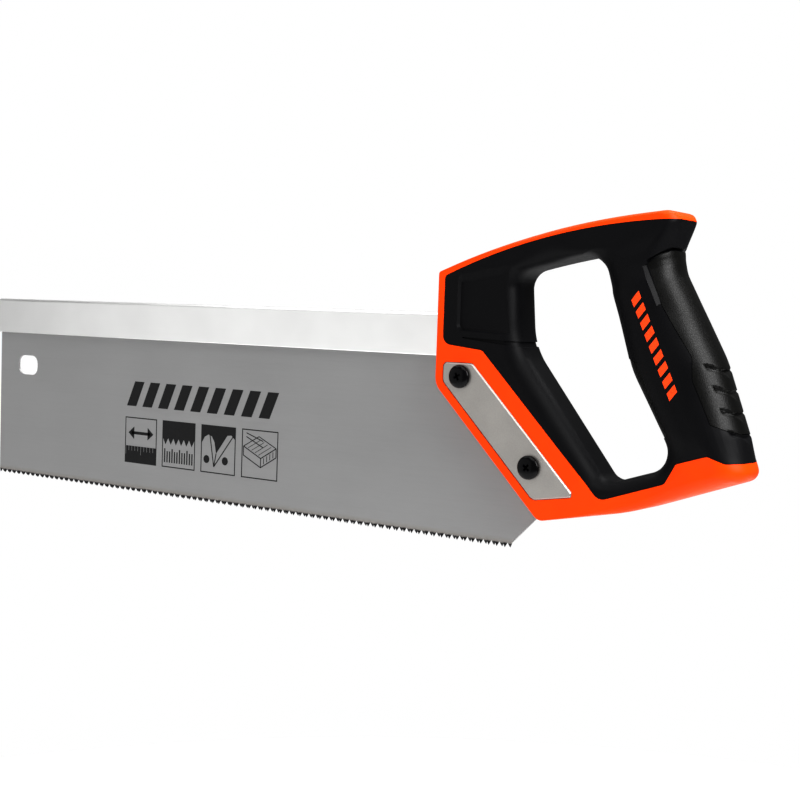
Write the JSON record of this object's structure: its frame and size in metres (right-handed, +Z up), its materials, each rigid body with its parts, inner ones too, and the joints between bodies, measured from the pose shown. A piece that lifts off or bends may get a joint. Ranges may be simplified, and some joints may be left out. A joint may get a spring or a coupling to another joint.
{
  "type": "back saw",
  "caption": "Back saw with a folded metal back, a tooth plate with a hang hole and a closed two-shot handle with side plates and mitre edges.",
  "frame": {"origin": "middle of the hand grip, on the mid-plane of the blade", "axes": "+X from the toe to the handle along the tooth line, +Z up from the teeth to the back, blade in the XZ plane"},
  "size_m": [0.4647, 0.0302, 0.1454],
  "materials": {
    "blade_steel": "matt grey tooth plate, near-black hardened teeth",
    "back_steel": "bright satin nickel plate",
    "orange_plastic": "smooth moulded, half gloss",
    "black_skin": "soft-touch moulded, half matt",
    "pad_rubber": "ribbed thermoplastic rubber",
    "plate_metal": "bead-blasted, bright broken edges",
    "black_screws": "glossy black plating"
  },
  "bodies": {
    "root": {"saw_blade": "blade_steel", "back_spine": "back_steel", "handle_core": "orange_plastic", "grip_overmould": "black_skin", "palm_pad": "pad_rubber", "finger_pad": "pad_rubber", "side_plate_left": "plate_metal", "side_plate_right": "plate_metal", "screw_upper": "black_screws", "screw_lower": "black_screws", "nut_upper": "black_screws", "nut_lower": "black_screws"}
  },
  "joints": []
}
